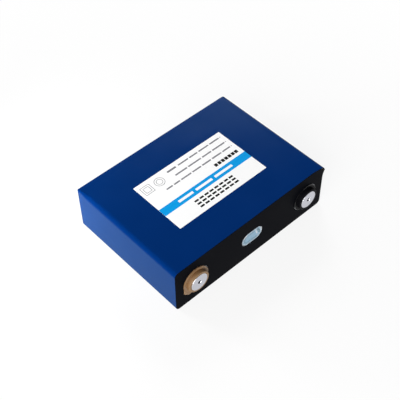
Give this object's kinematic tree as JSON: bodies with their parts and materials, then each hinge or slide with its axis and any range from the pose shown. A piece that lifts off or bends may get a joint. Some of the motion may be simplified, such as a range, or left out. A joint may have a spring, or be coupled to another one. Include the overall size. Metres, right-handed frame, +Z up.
{
  "type": "prismatic battery cell",
  "caption": "Prismatic lithium battery cell lying on its broad face: film-wrapped aluminium can with a label, round stepped terminals and an oval vent on one long end.",
  "frame": {"origin": "middle of the broad face that the cell rests on", "axes": "+X along the cell's width, from the negative to the positive terminal; -Y out of the terminal face; +Z up through the label"},
  "size_m": [0.1731, 0.1296, 0.0481],
  "materials": {
    "blue_film": "satin PET film",
    "label_paper": "matt printed label with a blue band",
    "black_sheet": "satin black sheet",
    "can_aluminium": "drawn, dull",
    "bright_aluminium": "bright, turned",
    "copper": null,
    "clear_film": "clear film with a blue tint",
    "tan_plastic": "moulded, natural tan",
    "black_plastic": "moulded, black",
    "seal_rubber": "moulded",
    "inner_plastic": "moulded, natural",
    "wound_electrodes": null,
    "bag_film": "thin film",
    "binding_tape": "thin tape"
  },
  "bodies": {
    "root": {"wrapping_film": "blue_film", "rating_label": "label_paper", "cover_sheet": "black_sheet", "can": "can_aluminium", "lid": "can_aluminium", "vent_disc": "bright_aluminium", "vent_film": "clear_film", "fill_plug": "seal_rubber", "fill_cap": "bright_aluminium", "positive_disc": "bright_aluminium", "positive_post": "can_aluminium", "positive_seal": "seal_rubber", "positive_outer_insulator": "black_plastic", "positive_inner_insulator": "inner_plastic", "positive_collector": "can_aluminium", "positive_tabs": "bright_aluminium", "negative_disc": "bright_aluminium", "negative_post": "copper", "negative_seal": "seal_rubber", "negative_outer_insulator": "tan_plastic", "negative_inner_insulator": "inner_plastic", "negative_collector": "copper", "negative_tabs": "copper", "label_side_core": "wound_electrodes", "base_side_core": "wound_electrodes", "core_tapes": "binding_tape", "core_bag": "bag_film", "core_tray": "inner_plastic"}
  },
  "joints": []
}
